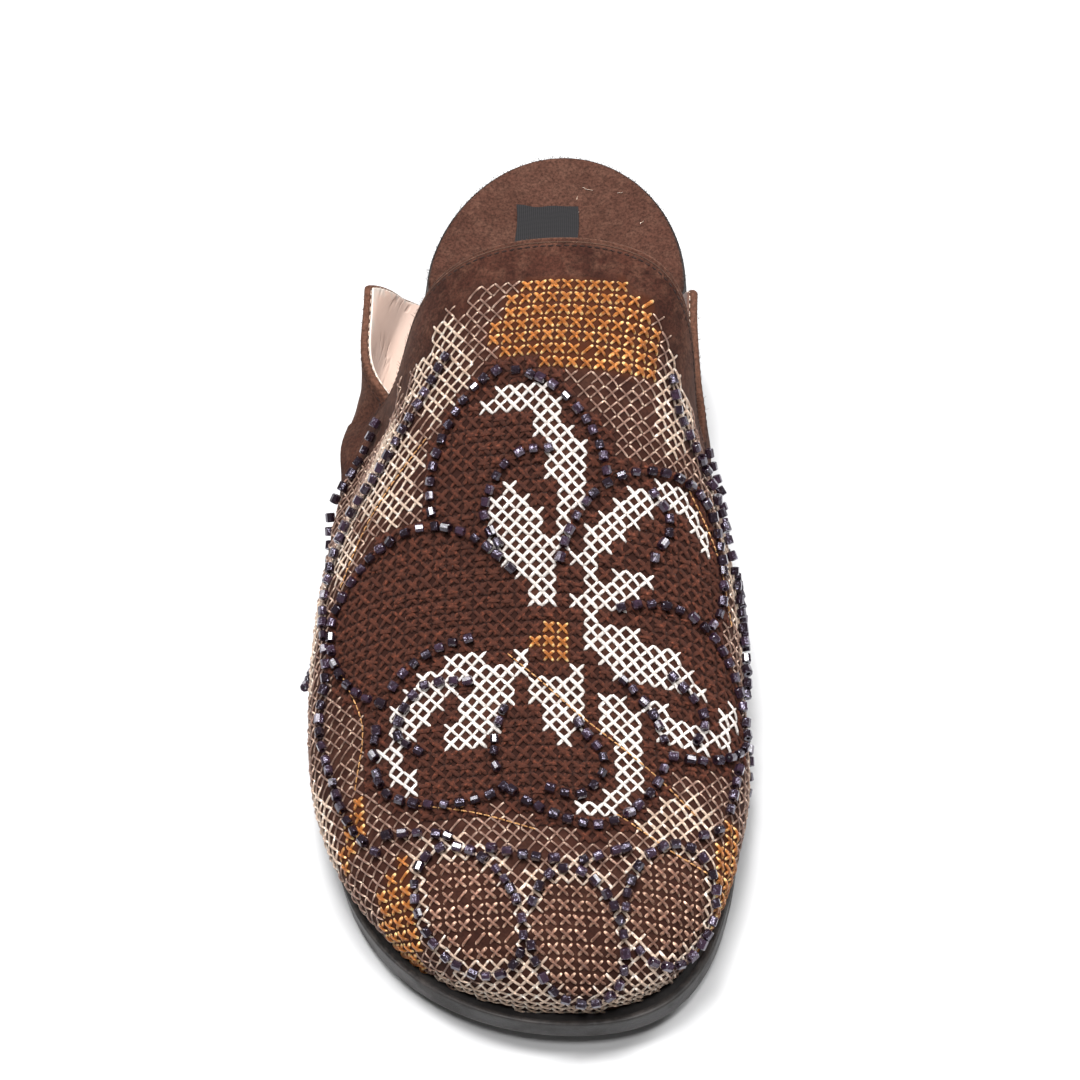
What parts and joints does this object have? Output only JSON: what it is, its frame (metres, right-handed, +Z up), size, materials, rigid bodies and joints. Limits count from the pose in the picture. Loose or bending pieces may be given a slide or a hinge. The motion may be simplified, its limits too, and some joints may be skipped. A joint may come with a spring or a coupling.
{
  "type": "slipper",
  "caption": "Closed-toe clog slipper for the right foot: embroidered and beaded upper with a high throat and side notches, cupped suede footbed, rubber unit sole.",
  "frame": {"origin": "on the floor under the middle of the shoe's bounding box", "axes": "+Z up, -Y towards the toe, +Y towards the heel, +X towards the inner side of the foot"},
  "size_m": [0.1037, 0.258, 0.0946],
  "materials": {
    "sole_rubber": "matte",
    "bed_suede": "suede",
    "upper_suede": "suede",
    "canvas": "woven",
    "yarn": "stitched",
    "lining": "satin",
    "beads": "gloss",
    "label": "woven"
  },
  "bodies": {
    "root": {"outsole": "sole_rubber", "footbed": "bed_suede", "upper": "canvas"}
  },
  "joints": []
}
